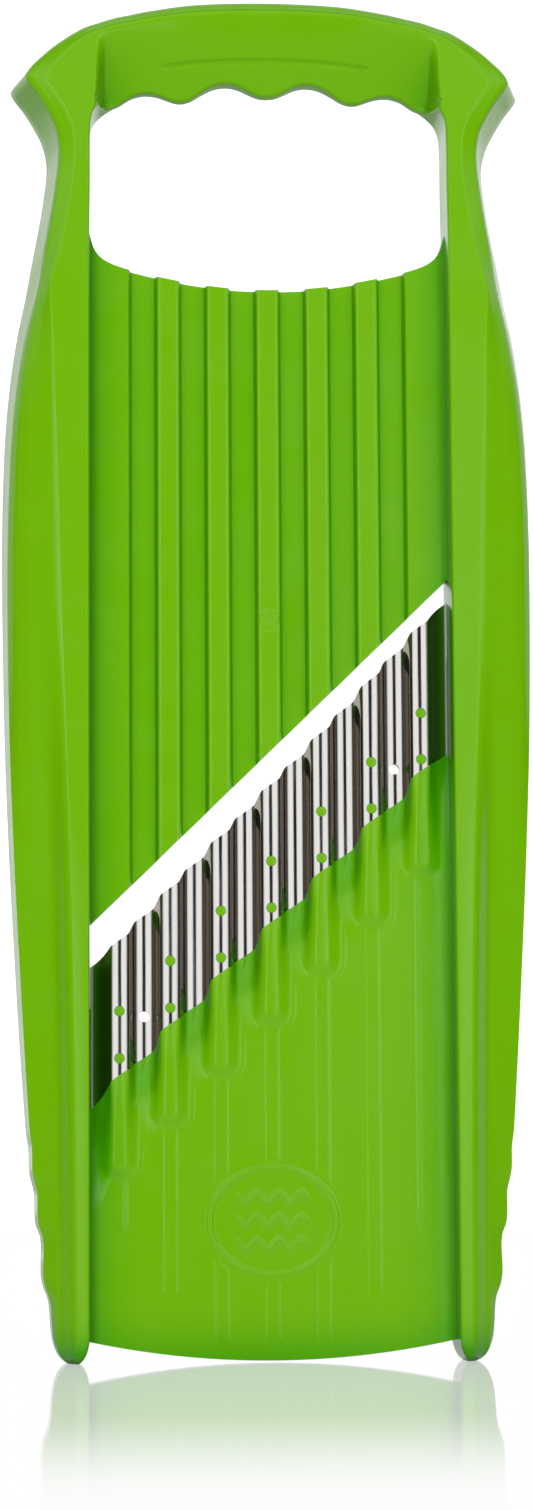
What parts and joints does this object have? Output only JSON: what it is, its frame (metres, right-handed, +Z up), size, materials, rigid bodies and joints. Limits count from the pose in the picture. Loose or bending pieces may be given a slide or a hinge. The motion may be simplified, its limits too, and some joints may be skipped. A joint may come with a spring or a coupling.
{
  "type": "mandoline slicer",
  "caption": "Hand-held green plastic slicer with an arched handle, a ribbed feed ramp, a slanted wavy steel blade and a run-out plate between two rails.",
  "frame": {"origin": "base plane between the two noses, at mid width and mid depth", "axes": "+X to the right seen from the front, +Y from the front face towards the open back, +Z up towards the handle"},
  "size_m": [0.1278, 0.0164, 0.326],
  "materials": {
    "green_plastic": "gloss",
    "blade_steel": "polished with fine grinding lines"
  },
  "bodies": {
    "root": {"body": "green_plastic", "wave_blade": "blade_steel"}
  },
  "joints": []
}
